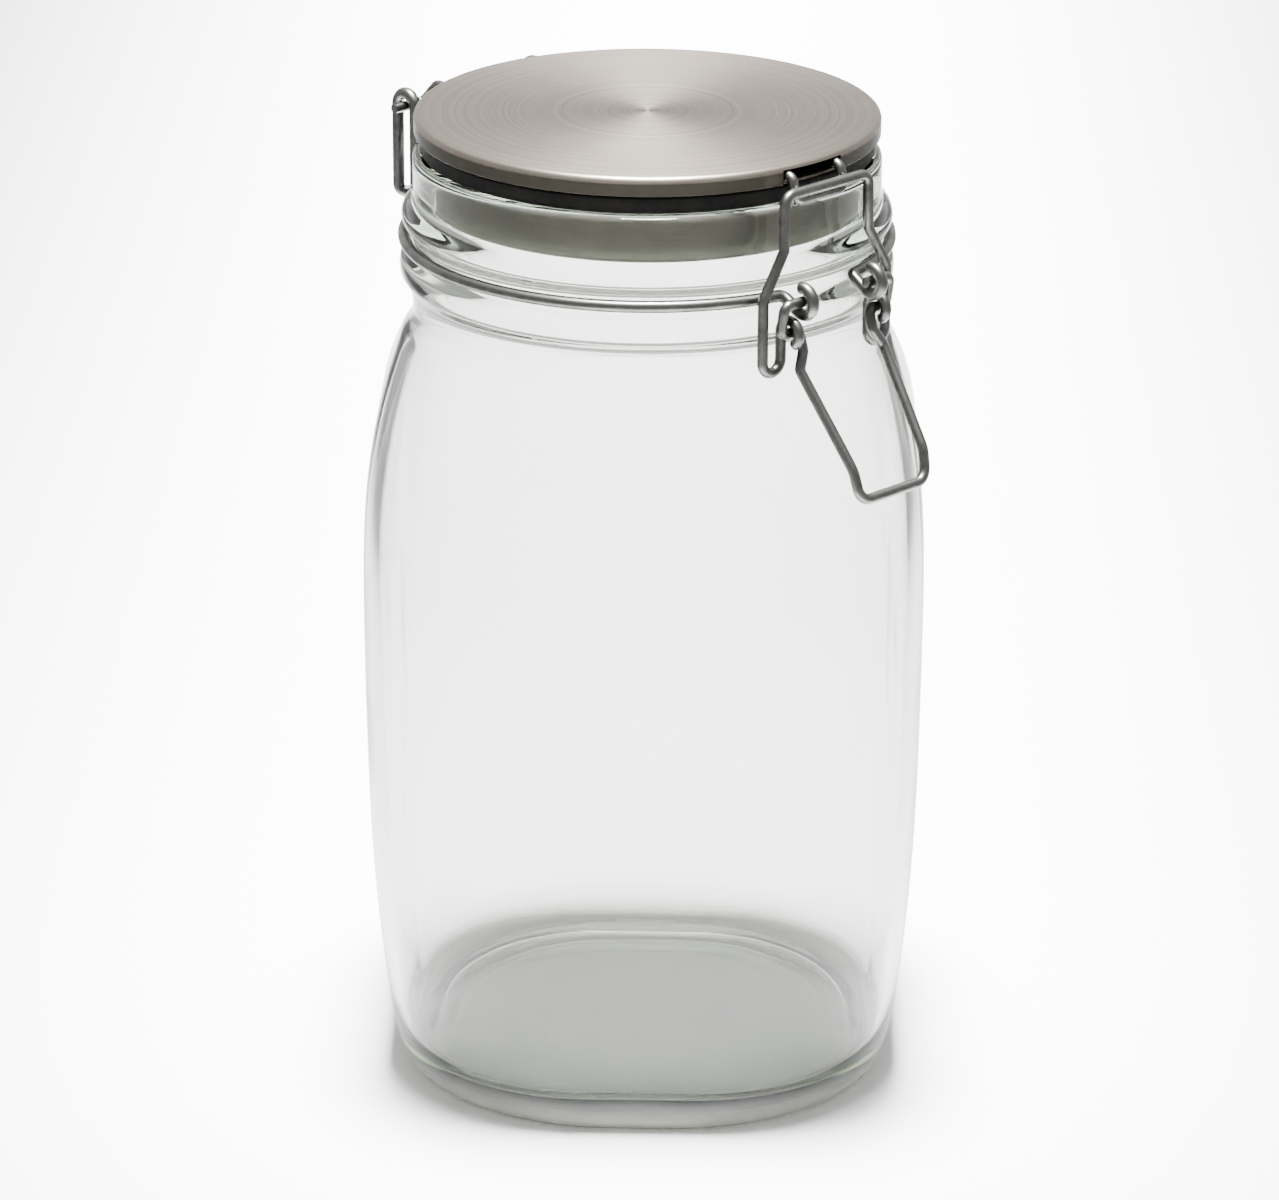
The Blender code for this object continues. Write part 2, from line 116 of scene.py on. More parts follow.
def add_lamp():
    """A long narrow softbox with a grid, reaching from above the jar to well behind it."""
    data = bpy.data.lights.new("softbox", "AREA")
    data.shape = "RECTANGLE"
    data.size, data.size_y = LAMP_SIZE
    data.energy = LAMP_POWER
    data.spread = LAMP_SPREAD
    lamp = bpy.data.objects.new("softbox", data)
    bpy.context.scene.collection.objects.link(lamp)
    lamp.location = LAMP_PLACE


def add_world():
    """A pale room: brightest at floor level, greyer above it and towards the camera."""
    world = bpy.data.worlds.new("studio")
    bpy.context.scene.world = world
    world.use_nodes = True
    nodes, links = world.node_tree.nodes, world.node_tree.links
    nodes.clear()
    coords = nodes.new("ShaderNodeTexCoord")
    split = nodes.new("ShaderNodeSeparateXYZ")
    links.new(coords.outputs["Generated"], split.inputs[0])
    ramps = []
    for axis, stops in (("Z", ROOM_BY_HEIGHT), ("Y", ROOM_BY_DEPTH)):
        ramp = nodes.new("ShaderNodeValToRGB")
        ramp.color_ramp.interpolation = "EASE"
        points = ramp.color_ramp.elements
        points.remove(points[1])
        for k, (place, level) in enumerate(stops):
            point = points[0] if k == 0 else points.new(place)
            point.position, point.color = place, (level, level, level, 1.0)
        spread = nodes.new("ShaderNodeMapRange")
        spread.inputs["From Min"].default_value = -1.0
        links.new(split.outputs[axis], spread.inputs["Value"])
        links.new(spread.outputs["Result"], ramp.inputs["Fac"])
        ramps.append(ramp)
    both = nodes.new("ShaderNodeMix")
    both.data_type = "RGBA"
    both.blend_type = "MULTIPLY"
    both.inputs[0].default_value = 1.0
    links.new(ramps[0].outputs["Color"], both.inputs[6])
    links.new(ramps[1].outputs["Color"], both.inputs[7])
    shade = nodes.new("ShaderNodeBackground")
    links.new(both.outputs[2], shade.inputs["Color"])
    shade.inputs["Strength"].default_value = ROOM_STRENGTH
    out = nodes.new("ShaderNodeOutputWorld")
    links.new(shade.outputs[0], out.inputs["Surface"])


def add_floor():
    """A wide sheet of matt paper just under the jar; it is the stage and not a piece."""
    mesh = bpy.data.meshes.new("floor")
    builder = bmesh.new()
    bmesh.ops.create_grid(builder, x_segments=1, y_segments=1, size=FLOOR_HALF)
    builder.to_mesh(mesh)
    builder.free()
    floor = bpy.data.objects.new("floor", mesh)
    floor.location.z = -FLOOR_GAP
    bpy.context.scene.collection.objects.link(floor)
    material = bpy.data.materials.new("floor_paper")
    material.use_nodes = True
    shader = material.node_tree.nodes["Principled BSDF"]
    shader.inputs["Base Color"].default_value = FLOOR_COLOUR
    shader.inputs["Roughness"].default_value = 0.9
    shader.inputs["Specular IOR Level"].default_value = 0.1
    mesh.materials.append(material)


# ---------------------------------------------------------------- materials

GLASS_TINT, GLASS_TINT_DENSITY = (0.68, 0.74, 0.64, 1.0), 50.0
# The second colour is painted light and shade: the warm milky tone on the outside of the foot,
# standing for the bright reflected line and the olive shade at the heel.
GLASS_CLEAR, PAINTED_HEEL_TONE = (0.975, 0.985, 0.978), (0.88, 0.87, 0.80)
MILKY_TRANSMISSION = 0.5
MILKY_FROM, MILKY_TO = 50.0 * MM, 52.0 * MM
MILKY_LOW, MILKY_HIGH = 2.2 * MM, 8.0 * MM
# Painted shade: under the lip the disc's skirt takes the steel's darker edge colour, a dark
# reflection painted into it.
STEEL_LIP = TOP - 1.1 * MM
STEEL = {"dark": (0.18, 0.155, 0.128), "light": (0.30, 0.262, 0.225), "rough": 0.38,
         "anisotropy": 0.42, "rings": 1500.0, "dome": 0.5, "edge": (0.075, 0.070, 0.058)}
# The plug's steel is a darker copy of the disc's: painted shade for the plug down in the neck under
# the lid; its higher roughness and weaker anisotropy are its own finish.
SATIN_SHADED_STEEL = {"dark": (0.115, 0.108, 0.085), "light": (0.185, 0.172, 0.14), "rough": 0.42,
         "anisotropy": 0.3, "rings": 900.0, "dome": 0.0}
# Both wire tones are set dark as painted shade for the dark reflections the wires show; the spread
# between the two tones is random tarnish.
BRIGHT_WIRE = ((0.09, 0.09, 0.085), (0.19, 0.19, 0.18))
CLAMP_WIRE_TONES = ((0.09, 0.09, 0.085), (0.20, 0.20, 0.19))
RUBBER_TONES = ((0.004, 0.004, 0.004), (0.012, 0.011, 0.010))


class Nodes:
    """A material's node tree with short ways to add and join nodes."""

    def __init__(self, name):
        self.material = bpy.data.materials.new(name)
        self.material.use_nodes = True
        self.nodes = self.material.node_tree.nodes
        self.links = self.material.node_tree.links
        self.shader = self.nodes["Principled BSDF"]

    def add(self, kind, **values):
        node = self.nodes.new("ShaderNode" + kind)
        for key, value in values.items():
            setattr(node, key, value)
        return node

    def join(self, source, target):
        self.links.new(source, target)

    def math(self, operation, first, second=None):
        node = self.add("Math", operation=operation)
        for socket, value in zip(node.inputs, (first, second)):
            if value is None:
                continue
            if isinstance(value, (int, float)):
                socket.default_value = value
            else:
                self.join(value, socket)
        return node.outputs[0]

    def noise(self, vector, scale, detail=3.0, rough=0.5):
        node = self.add("TexNoise")
        node.inputs["Scale"].default_value = scale
        node.inputs["Detail"].default_value = detail
        node.inputs["Roughness"].default_value = rough
        if vector is not None:
            self.join(vector, node.inputs["Vector"])
        return node.outputs["Fac"]

    def remap(self, value, low, high, first=0.3, last=0.7):
        node = self.add("MapRange")
        node.inputs["From Min"].default_value = first
        node.inputs["From Max"].default_value = last
        node.inputs["To Min"].default_value = low
        node.inputs["To Max"].default_value = high
        self.join(value, node.inputs["Value"])
        return node.outputs["Result"]

    def mix(self, factor, first, second):
        node = self.add("Mix", data_type="RGBA")
        self.join(factor, node.inputs[0])
        node.inputs[6].default_value = (*first, 1.0)
        node.inputs[7].default_value = (*second, 1.0)
        return node.outputs[2]

    def bump(self, height, strength, distance):
        node = self.add("Bump")
        node.inputs["Strength"].default_value = strength
        node.inputs["Distance"].default_value = distance
        self.join(height, node.inputs["Height"])
        self.join(node.outputs["Normal"], self.shader.inputs["Normal"])

    def set(self, **values):
        for key, value in values.items():
            self.shader.inputs[key.replace("_", " ")].default_value = value


def glass_material():
    """Clear glass with a tint, a faint ripple, and painted light and shade outside the foot."""
    kit = Nodes("clear_glass")
    coords = kit.add("TexCoord").outputs["Object"]
    kit.set(Metallic=0.0, IOR=1.5)
    split = kit.add("SeparateXYZ")
    kit.join(coords, split.inputs[0])
    height = split.outputs[2]
    square = kit.math("ADD", kit.math("MULTIPLY", split.outputs[0], split.outputs[0]),
                      kit.math("MULTIPLY", split.outputs[1], split.outputs[1]))
    # Painted light and shade: the foot's outside turns milky and warm, for the bright line and the
    # olive shade along the heel.
    outside = kit.remap(kit.math("SQRT", square), 0.0, 1.0, MILKY_FROM, MILKY_TO)
    painted_heel_mask = kit.math("MULTIPLY", outside, kit.remap(height, 1.0, 0.0, MILKY_LOW, MILKY_HIGH))
    clear = kit.remap(painted_heel_mask, 1.0, MILKY_TRANSMISSION, 0.0, 1.0)
    kit.join(clear, kit.shader.inputs["Transmission Weight"])
    tone = kit.mix(painted_heel_mask, GLASS_CLEAR, PAINTED_HEEL_TONE)
    kit.join(tone, kit.shader.inputs["Base Color"])
    ripple = kit.noise(coords, scale=24.0, detail=1.0)
    kit.bump(ripple, strength=0.25, distance=1.2 * MM)
    smears = kit.noise(coords, scale=60.0)
    kit.join(kit.remap(smears, 0.0, 0.02), kit.shader.inputs["Roughness"])
    tint = kit.add("VolumeAbsorption")
    tint.inputs["Color"].default_value = GLASS_TINT
    tint.inputs["Density"].default_value = GLASS_TINT_DENSITY
    kit.join(tint.outputs[0], kit.nodes["Material Output"].inputs["Volume"])
    return kit.material


def brushed_material(name, dark, light, rough, anisotropy, rings, dome, edge=None):
    """Steel turned on its axis: rings in colour, roughness and relief, a hint of a crown, and,
    where an edge colour is given, painted shade below the lip: a dark reflection painted in."""
    kit = Nodes(name)
    coords = kit.add("TexCoord").outputs["Object"]
    split = kit.add("SeparateXYZ")
    kit.join(coords, split.inputs[0])
    x, y, z = split.outputs
    square = kit.math("ADD", kit.math("MULTIPLY", x, x), kit.math("MULTIPLY", y, y))
    line = kit.add("CombineXYZ")
    kit.join(kit.math("SQRT", square), line.inputs[0])
    kit.join(z, line.inputs[2])
    grain = kit.noise(line.outputs[0], scale=rings, detail=4.0, rough=0.7)
    cloud = kit.noise(coords, scale=30.0, detail=4.0)
    both = kit.math("ADD", kit.math("MULTIPLY", grain, 0.6), kit.math("MULTIPLY", cloud, 0.4))
    colour = kit.mix(kit.remap(both, 0.0, 1.0), dark, light)
    # Painted shade: below the lip the colour goes over to the edge colour, a dark reflection painted
    # in.
    if edge:
        below = kit.remap(z, 1.0, 0.0, STEEL_LIP - 0.4 * MM, STEEL_LIP)
        shade = kit.add("Mix", data_type="RGBA")
        kit.join(below, shade.inputs[0])
        kit.join(colour, shade.inputs[6])
        shade.inputs[7].default_value = (*edge, 1.0)
        colour = shade.outputs[2]
    kit.join(colour, kit.shader.inputs["Base Color"])
    kit.join(kit.remap(grain, rough - 0.05, rough + 0.06), kit.shader.inputs["Roughness"])
    kit.set(Metallic=1.0, Anisotropic=anisotropy, Anisotropic_Rotation=0.25)
    tangent = kit.add("Tangent", direction_type="RADIAL", axis="Z")
    kit.join(tangent.outputs[0], kit.shader.inputs["Tangent"])
    scratches = kit.math("MULTIPLY", grain, 2.4e-6)
    crown = kit.math("MULTIPLY", square, -dome)
    kit.bump(kit.math("ADD", scratches, crown), strength=1.0, distance=1.0)
    return kit.material


def wire_material(name, dark, light):
    """Bright drawn wire with faint draw marks and slightly tarnished patches; its dark tones are
    painted shade, standing for the dark reflections the wires show.
    """
    kit = Nodes(name)
    coords = kit.add("TexCoord").outputs["Object"]
    patch = kit.noise(coords, scale=160.0, detail=4.0, rough=0.6)
    fine = kit.noise(coords, scale=1400.0, detail=3.0, rough=0.6)
    kit.join(kit.mix(kit.remap(patch, 0.0, 1.0), dark, light), kit.shader.inputs["Base Color"])
    kit.join(kit.remap(patch, 0.40, 0.26), kit.shader.inputs["Roughness"])
    kit.set(Metallic=1.0)
    kit.bump(fine, strength=0.12, distance=0.03 * MM)
    return kit.material


def rubber_material():
    """Matt black rubber with a fine grain and a little dust."""
    kit = Nodes("black_rubber")
    coords = kit.add("TexCoord").outputs["Object"]
    grain = kit.noise(coords, scale=900.0, detail=3.0, rough=0.7)
    dust = kit.noise(coords, scale=70.0, detail=4.0, rough=0.6)
    colour = kit.mix(kit.remap(dust, 0.0, 1.0), *RUBBER_TONES)
    kit.join(colour, kit.shader.inputs["Base Color"])
    kit.join(kit.remap(grain, 0.5, 0.68), kit.shader.inputs["Roughness"])
    kit.set(Specular_IOR_Level=0.15)
    kit.bump(grain, strength=0.25, distance=0.05 * MM)
    return kit.material


# ---------------------------------------------------------------- helpers shared by the pieces

def finish_piece(item, body, node, material, sharp=SHARP_ANGLE):
    """Links a piece, shades it smooth, parents it to the body it rides and hides the CAD node it
    stands for.
    """
    bpy.context.scene.collection.objects.link(item)
    item.data.materials.append(material)
    if item.type == "MESH":
        for face in item.data.polygons:
            face.use_smooth = True
        item.data.set_sharp_from_angle(angle=sharp)
    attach(item, body)
    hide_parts(node)
    return item


def front(across, reach, depth):
    """A point on the clamp's side."""
    return Vector((across, -reach, TOP - depth))


def rear(across, reach, depth):
    """A point on the hinge's side."""
    return Vector((across, reach, TOP - depth))


def bend(path, radius=1.6 * MM, steps=10):
    """The path with every inner corner replaced by a round bend."""
    out = [path[0]]
    for before, corner, after in zip(path, path[1:], path[2:]):
        back = (before - corner).normalized()
        on = (after - corner).normalized()
        half = back.angle(on) / 2
        centre = corner + (back + on).normalized() * radius / sin(half)
        start = (corner + back * radius / tan(half) - centre).normalized()
        end = (corner + on * radius / tan(half) - centre).normalized()
        out += [centre + radius * start.slerp(end, k / steps) for k in range(steps + 1)]
    out.append(path[-1])
    return out


def ring_point(radius, depth, angle):
    """A point on a level ring round the jar's axis; angle 0 is the clamp's side."""
    return Vector((radius * sin(angle), -radius * cos(angle), TOP - depth))


def ring_arc(radius, depth, first, last, steps=90):
    """A stretch of such a ring."""
    return [ring_point(radius, depth, angle) for angle in np.linspace(first, last, steps + 1)]


def eye_arc(centre, radius, first, last, outward, steps=30):
    """Part of a round eye, in the upright plane that the hinge's axis crosses squarely."""
    out = []
    for angle in np.linspace(first, last, steps + 1):
        out.append(centre + Vector((0.0, outward * radius * cos(angle), radius * sin(angle))))
    return out


def wire(name, half, thickness, body, material):
    """A round wire along a path mirrored about the middle plane of the closure."""
    path = [Vector((-p.x, p.y, p.z)) for p in reversed(half)] + half
    kept = [path[0]]
    for point in path[1:]:
        if (point - kept[-1]).length > 0.04 * MM:
            kept.append(point)
    curve = bpy.data.curves.new(name, "CURVE")
    curve.dimensions = "3D"
    curve.bevel_depth = thickness / 2
    curve.bevel_resolution = 6
    curve.use_fill_caps = True
    spline = curve.splines.new("POLY")
    spline.points.add(len(kept) - 1)
    turn = Matrix.Rotation(CLOSURE_TURN, 3, "Z")
    for slot_point, point in zip(spline.points, kept):
        slot_point.co = (*(turn @ point), 1.0)
    spline.use_smooth = True
    item = bpy.data.objects.new(name + "_fine", curve)
    return finish_piece(item, body, name, material)


# ---------------------------------------------------------------- wires

def neck_wire(material):
    """A ring in the groove, an eye each side of the clamp, a tall hairpin each side of the hinge."""
    eye_across, eye_radius, step_out = 10.25 * MM, 2.9 * MM, 4.9 * MM
    hairpin_across, hairpin_radius, reach = 19.0 * MM, 2.8 * MM, 52.3 * MM
    first = pi + asin((step_out ** 2 - eye_radius ** 2) ** 0.5 / step_out)
    eye = eye_arc(front(eye_across, PIVOT_REACH, PIVOT_DEPTH), eye_radius,
                  first + radians(230), first, -1)
    depth = PIVOT_DEPTH
    corner, back = asin(eye_across / reach), pi - asin(hairpin_across / reach)
    ring = ring_arc(reach, depth, corner + radians(5), back - radians(5))
    inner, outer = 53.2 * MM, 58.8 * MM
    rise = [ring[-1], ring_point(reach, depth, back), rear(hairpin_across, inner, depth),
            rear(hairpin_across, inner, HINGE_DEPTH)]
    over = eye_arc(rear(hairpin_across, HINGE_REACH, HINGE_DEPTH), hairpin_radius, pi, 0.0, 1)
    fall = [over[-1], rear(hairpin_across, outer, depth),
            ring_point(reach, depth, pi - radians(13.5)), ring_point(reach, depth, pi - radians(6))]
    half = eye + bend([eye[-1], ring_point(reach, depth, corner), ring[0]]) + ring
    half += bend(rise) + over + bend(fall)
    half += ring_arc(reach, depth, pi - radians(5), pi, 6)
    half.reverse()
    return wire("neck_wire", half, NECK_WIRE, "jar", material)


def lid_wire(material):
    """A ring under the disc, a catch loop in front of it and two hinge legs behind it."""
    reach, depth = 47.6 * MM, 2.3 * MM
    catch_across, catch_reach, catch_depth = 7.0 * MM, 51.6 * MM, 7.2 * MM
    pin_end = 22.6 * MM
    corner, back = asin(catch_across / reach), pi - asin(LID_LEG_ACROSS / reach)
    ring = ring_arc(reach, depth, corner + radians(6), back - radians(5))
    catch = [front(0.0, catch_reach, catch_depth), front(catch_across, catch_reach, catch_depth),
             front(catch_across, 50.4 * MM, depth), ring_point(reach, depth, corner), ring[0]]
    leg = [ring[-1], ring_point(reach, depth, back), rear(LID_LEG_ACROSS, catch_reach, depth),
           rear(LID_LEG_ACROSS, HINGE_REACH, HINGE_DEPTH), rear(pin_end, HINGE_REACH, HINGE_DEPTH)]
    half = bend(catch) + ring + bend(leg)
    return wire("lid_wire", half, LID_WIRE, "lid", material)


def lever_wire(material):
    """Trunnions in the neck wire's eyes, cranks for the bail, and the handle's loop."""
    handle_reach, handle_depth = 74.3 * MM, 66.8 * MM
    corner = front(9.8 * MM, handle_reach, handle_depth)
    crook = front(10.5 * MM, 72.8 * MM, 60.4 * MM)
    knee, elbow = front(12.5 * MM, 58.7 * MM, 41.2 * MM), front(10.45 * MM, 57.6 * MM, 37.7 * MM)
    grip, leg = (corner + crook) / 2, (crook + knee) / 2
    crank_across = 15.7 * MM
    crank = [leg, knee, elbow, front(10.4 * MM, CRANK_REACH, CRANK_DEPTH),
             front(crank_across, CRANK_REACH, CRANK_DEPTH),
             front(crank_across, PIVOT_REACH, PIVOT_DEPTH), front(8.4 * MM, PIVOT_REACH, PIVOT_DEPTH)]
    half = bend([front(0.0, handle_reach, handle_depth), corner, grip], radius=3.2 * MM, steps=16)
    half += bend([grip, crook, leg], radius=8.0 * MM, steps=12) + bend(crank)
    return wire("lever_wire", half, CLAMP_WIRE, "lever", material)


def bail_wire(material):
    """The hooked bar, two legs with hairpin ends, and an eye round each crank."""
    bar_reach, bar_depth, leg_reach, leg_across = 53.6 * MM, 4.7 * MM, 53.55 * MM, 18.35 * MM
    shoulder = front(12.5 * MM, 53.7 * MM, 16.4 * MM)
    leg_end = front(leg_across, leg_reach, 39.6 * MM)
    bar = [front(0.0, bar_reach, bar_depth), front(12.4 * MM, bar_reach, bar_depth), shoulder]
    leg = [shoulder, front(leg_across, leg_reach, 26.0 * MM), leg_end]
    radius = 2.65 * MM
    hairpin = []
    for angle in np.linspace(0.0, -pi, 25):
        hairpin.append(leg_end + Vector((radius * (cos(angle) - 1), 0.0, radius * sin(angle))))
    eye = eye_arc(front(leg_across - 2 * radius, CRANK_REACH, CRANK_DEPTH), radius,
                  pi, pi - radians(240), -1)
    half = bend(bar, radius=2.4 * MM, steps=12) + bend(leg, radius=4.0 * MM) + hairpin + eye
    return wire("bail_wire", half, CLAMP_WIRE, "bail", material)


# ---------------------------------------------------------------- lid

def round_corner(x, z, radius, first, last, steps=10):
    """An arc about (x, z) between two angles in degrees."""
    out = []
    for angle in np.linspace(radians(first), radians(last), steps + 1):
        out.append((x + radius * cos(angle), z + radius * sin(angle)))
    return out


def turned(name, outline, closed, body, material):
    """A solid turned about the jar's axis. A closed outline is a loop that stays off the axis."""
    builder = bmesh.new()
    rings = []
    for x, z in outline:
        if x < 1e-7:
            rings.append([builder.verts.new((0.0, 0.0, z))])
            continue
        ring = []
        for k in range(TURNED):
            angle = 2 * pi * k / TURNED
            ring.append(builder.verts.new((x * cos(angle), x * sin(angle), z)))
        rings.append(ring)
    pairs = list(zip(rings, rings[1:]))
    if closed:
        pairs.append((rings[-1], rings[0]))
    for upper, lower in pairs:
        for k in range(TURNED):
            on = (k + 1) % TURNED
            face = [upper[k % len(upper)], lower[k % len(lower)],
                    lower[on % len(lower)], upper[on % len(upper)]]
            builder.faces.new(list(dict.fromkeys(face)))
    bmesh.ops.recalc_face_normals(builder, faces=builder.faces)
    mesh = bpy.data.meshes.new(name)
    builder.to_mesh(mesh)
    builder.free()
    item = bpy.data.objects.new(name + "_fine", mesh)
    return finish_piece(item, body, name, material)


def disc_outline():
    """A flat top, a rolled edge and a turned-down skirt."""
    edge, radius, low, under = DISC_EDGE, DISC_RADIUS, TOP - DISC_SKIRT, TOP - DISC_SHEET
    inner, soft, fillet = DISC_RADIUS - DISC_SHEET, 0.2 * MM, 0.5 * MM
    line = [(0.0, TOP)]
    line += [(reach * MM, TOP) for reach in (8, 16, 24, 32, 40, 46)]
    line += round_corner(radius - edge, TOP - edge, edge, 90, 0)
    line += [(radius, low + soft), (radius - soft, low), (inner, low), (inner, under - fillet)]
    return line + [(inner - fillet, under), (0.0, under)]


def cut_notches(disc):
    """Opens the skirt where the lid wire comes out of it."""
    turn = Matrix.Rotation(CLOSURE_TURN, 4, "Z")
    low, high = TOP - NOTCH_UNDER, TOP - NOTCH_TOP
    openings = [(0.0, 8.5 * MM, -44.0 * MM, -53.0 * MM)]
    for across in (LID_LEG_ACROSS, -LID_LEG_ACROSS):
        openings.append((across, 1.5 * MM, 41.0 * MM, 53.0 * MM))
    builder = bmesh.new()
    for across, half, near, far in openings:
        made = bmesh.ops.create_cube(builder, size=1.0)
        scale = Matrix.Diagonal((2 * half, abs(far - near), high - low, 1.0))
        shift = Matrix.Translation((across, (near + far) / 2, (low + high) / 2))
        bmesh.ops.transform(builder, matrix=turn @ shift @ scale, verts=made["verts"])
    mesh = bpy.data.meshes.new("notch_tool")
    builder.to_mesh(mesh)
    builder.free()
    tool = bpy.data.objects.new("notch_tool", mesh)
    bpy.context.scene.collection.objects.link(tool)
    cut = disc.modifiers.new("notches", "BOOLEAN")
    cut.operation = "DIFFERENCE"
    cut.solver = "EXACT"
    cut.object = tool
    bpy.context.view_layer.update()
    graph = bpy.context.evaluated_depsgraph_get()
    cleared = bpy.data.meshes.new_from_object(disc.evaluated_get(graph), depsgraph=graph)
    disc.modifiers.remove(cut)
    disc.data = cleared
    bpy.data.objects.remove(tool, do_unlink=True)
    disc.data.set_sharp_from_angle(angle=SHARP_ANGLE)


def plug_outline():
    """A pressed pan with a flat floor, round lower corners and a flange above."""
    low, top, under = TOP - PLUG_DEPTH, TOP - FLANGE_TOP, TOP - FLANGE_UNDER
    inner, rest, fillet = PLUG_RADIUS - PLUG_SHEET, PLUG_CORNER - PLUG_SHEET, 0.3 * MM
    floor = low + PLUG_SHEET
    line = [(0.0, floor)]
    line += round_corner(inner - rest, floor + rest, rest, -90, 0)
    line += [(inner, top), (FLANGE_RADIUS, top), (FLANGE_RADIUS, under)]
    line += [(PLUG_RADIUS + fillet, under), (PLUG_RADIUS, under - fillet)]
    line += round_corner(PLUG_RADIUS - PLUG_CORNER, low + PLUG_CORNER, PLUG_CORNER, 0, -90)
    return line + [(0.0, low)]


def gasket_outline():
    """A band with soft outer corners."""
    soft, top, low = GASKET_SOFT, TOP - GASKET_TOP, TOP - GASKET_UNDER
    line = [(GASKET_INNER, top)]
    line += round_corner(GASKET_OUTER - soft, top - soft, soft, 90, 0, steps=5)
    line += round_corner(GASKET_OUTER - soft, low + soft, soft, 0, -90, steps=5)
    return line + [(GASKET_INNER, low)]


# ---------------------------------------------------------------- glass

def section(half, corner, height):
    """A level rounded square; a circle where the corner radius is the half width."""
    corner = min(corner, half)
    inset = half - corner
    out = []
    for k in range(AROUND):
        angle = (k + 0.5) * 2 * pi / AROUND
        quarter = round(angle / (pi / 2))
        lean = angle - quarter * pi / 2
        along = half * tan(lean)
        if abs(along) <= inset:
            reach = half / cos(lean)
        else:
            c, s = cos(abs(lean)), sin(abs(lean))
            reach = inset * (c + s) + (corner ** 2 - inset ** 2 * (c - s) ** 2) ** 0.5
        out.append((reach * cos(angle), reach * sin(angle), height))
    return out


def eased(stations, step=1.1):
    """A smooth curve with no overshoot through (height, half width, corner), in mm."""
    rows = np.array(stations, dtype=float)
    run = np.hypot(np.diff(rows[:, 0]), np.diff(rows[:, 1]))
    slope = np.diff(rows, axis=0) / run[:, None]
    lean = np.zeros_like(rows)
    lean[0], lean[-1] = slope[0], slope[-1]
    same = slope[1:] * slope[:-1] > 0
    both = np.where(same, slope[1:] + slope[:-1], 1.0)
    lean[1:-1] = np.where(same, 2 * slope[1:] * slope[:-1] / both, 0.0)
    out = []
    for k, width in enumerate(run):
        count = max(1, int(round(width / step)))
        for t in np.arange(count) / count:
            a = (1 + 2 * t) * (1 - t) ** 2 * rows[k] + t * (1 - t) ** 2 * width * lean[k]
            b = t * t * (3 - 2 * t) * rows[k + 1] + t * t * (t - 1) * width * lean[k + 1]
            out.append(tuple((a + b) * MM))
    out.append(tuple(rows[-1] * MM))
    return out


def relaxed(rows, low, high):
    """Evens the curvature between two heights: each row is averaged with its neighbours."""
    line = np.array(rows)
    free = (line[:, 0] > low) & (line[:, 0] < high)
    for _ in range(EVENING_ROUNDS):
        mean = line.copy()
        mean[1:-1] = (line[:-2] + 2 * line[1:-1] + line[2:]) / 4
        line[free] = mean[free]
    return [tuple(row) for row in line]


def arc_rows(radius, height, bend_radius, first, last):
    """A round corner of the mouth as rows in mm."""
    corner = round_corner(radius, height, bend_radius, first, last, steps=5)
    return [(z / MM, x / MM, x / MM) for x, z in corner]


def shoulder_rows(widest):
    """From the round waist to the rounded square: depth from the top, half width, corner."""
    return [(43.0, 50.4, 50.4), (46.0, 51.3, 51.3), (50.0, 53.5, 51.0), (56.0, 56.0, 46.4),
            (65.0, 58.3, 39.6), (79.0, 59.9, 35.0), (94.0, widest, 34.4)]


def outside_rows():
    """The outside from the rim down over the collar and the heel to the push-up underneath."""
    top = TOP / MM
    rim = arc_rows(RIM_RADIUS - RIM_ROUND, TOP - RIM_DEPTH - RIM_ROUND, RIM_ROUND, 90, 0)
    neck = [(17.5, 50.3), (19.8, 51.9), (21.8, 52.8), (23.4, 52.6), (25.2, 50.7), (28.8, 50.7),
            (30.4, 52.6), (32.2, 53.2), (34.2, 53.2), (35.8, 52.4), (37.4, 51.4), (40.0, 50.7)]
    rows = rim + [(top - depth, radius, radius) for depth, radius in neck]
    rows += [(top - depth, half, corner) for depth, half, corner in shoulder_rows(60.4)]
    rows += [(90.0, 60.35, 37.5), (60.0, 59.9, 41.0), (40.0, 59.0, 43.6), (26.0, 57.9, 45.2),
             (16.0, 56.8, 46.2), (9.0, 55.9, 46.9), (4.5, 55.1, 47.1), (2.0, 54.4, 47.0),
             (0.6, 53.7, 46.7), (0.0, 53.0, 46.2)]
    under = [(0.0, 49.5, 42.7), (0.8, 47.5, 40.7), (1.8, 43.0, 36.5), (2.6, 37.0, 31.0),
             (PUSH_UP / MM, 30.0, 25.0)]
    return relaxed(eased(rows), *BODY_STRETCH) + eased(under, step=2.0)


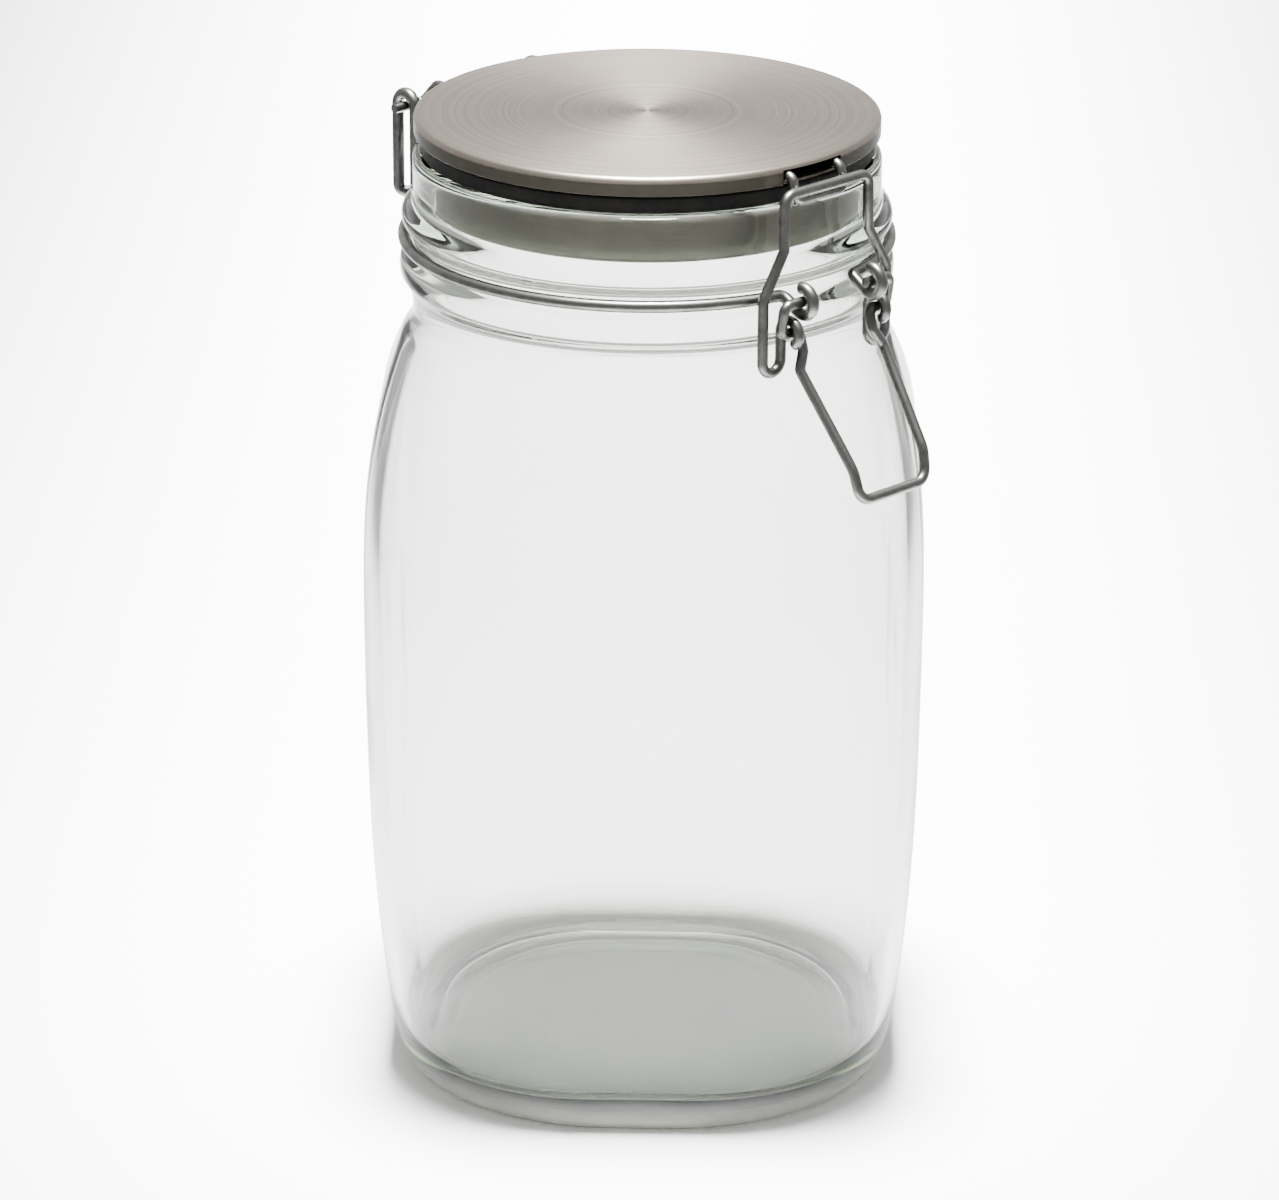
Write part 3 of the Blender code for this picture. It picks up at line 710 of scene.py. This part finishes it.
def inside_rows():
    """The hollow from the floor up to the lip of the mouth."""
    top, floor, mouth, wall = TOP / MM, FLOOR_HEIGHT / MM, MOUTH_RADIUS / MM, SHOULDER_WALL / MM
    rows = [(floor, 30.0, 22.0), (floor, 48.6, 37.0), (7.2, 50.6, 39.2), (9.4, 52.2, 41.2),
            (15.0, 53.5, 42.6), (26.0, 54.6, 42.0), (40.0, 55.6, 40.3), (60.0, 56.4, 37.6),
            (90.0, 56.85, 34.1)]
    for depth, half, corner in reversed(shoulder_rows(60.5)):
        rows.append((top - depth - 0.8, half - wall, corner - wall))
    flare = mouth + 0.3
    rows += [(top - 36.0, flare, flare), (top - 31.0, mouth, mouth), (top - 20.0, mouth, mouth)]
    rows += arc_rows(MOUTH_RADIUS + LIP_ROUND, TOP - RIM_DEPTH - LIP_ROUND, LIP_ROUND, 180, 90)
    return relaxed(eased(rows), *BODY_STRETCH)


def jar_glass(material):
    """One closed wall: the outside, the underside, the floor and the hollow."""
    outer = [section(half, corner, height) for height, half, corner in outside_rows()]
    inner = [section(half, corner, height) for height, half, corner in inside_rows()]
    builder = bmesh.new()
    verts = [[builder.verts.new(point) for point in ring] for ring in outer + inner]
    turn_over = len(outer)
    for k, ring in enumerate(verts):
        after = verts[(k + 1) % len(verts)]
        if (k + 1) % len(verts) == turn_over:
            continue
        for j in range(AROUND):
            on = (j + 1) % AROUND
            builder.faces.new((ring[j], after[j], after[on], ring[on]))
    for ring, height in ((verts[turn_over - 1], PUSH_UP), (verts[turn_over], FLOOR_HEIGHT)):
        middle = builder.verts.new((0.0, 0.0, height))
        for j in range(AROUND):
            builder.faces.new((ring[j], ring[(j + 1) % AROUND], middle))
    bmesh.ops.remove_doubles(builder, verts=builder.verts, dist=1e-6)
    bmesh.ops.recalc_face_normals(builder, faces=builder.faces)
    mesh = bpy.data.meshes.new("jar_body")
    builder.to_mesh(mesh)
    builder.free()
    item = bpy.data.objects.new("jar_body_fine", mesh)
    return finish_piece(item, "jar", "jar_body", material, GLASS_SHARP_ANGLE)


def build():
    """The set, the materials and the eight pieces."""
    add_camera()
    add_world()
    add_lamp()
    add_floor()
    glass = glass_material()
    steel = brushed_material("brushed_steel", **STEEL)
    satin = brushed_material("satin_steel", **SATIN_SHADED_STEEL)
    rubber = rubber_material()
    bright = wire_material("bright_wire", *BRIGHT_WIRE)
    clamp = wire_material("clamp_wire", *CLAMP_WIRE_TONES)
    jar_glass(glass)
    neck_wire(bright)
    disc = turned("lid_disc", disc_outline(), False, "lid", steel)
    cut_notches(disc)
    turned("lid_plug", plug_outline(), False, "lid", satin)
    turned("lid_gasket", gasket_outline(), True, "lid", rubber)
    lid_wire(bright)
    lever_wire(clamp)
    bail_wire(clamp)


build()

bpy.context.view_layer.update()
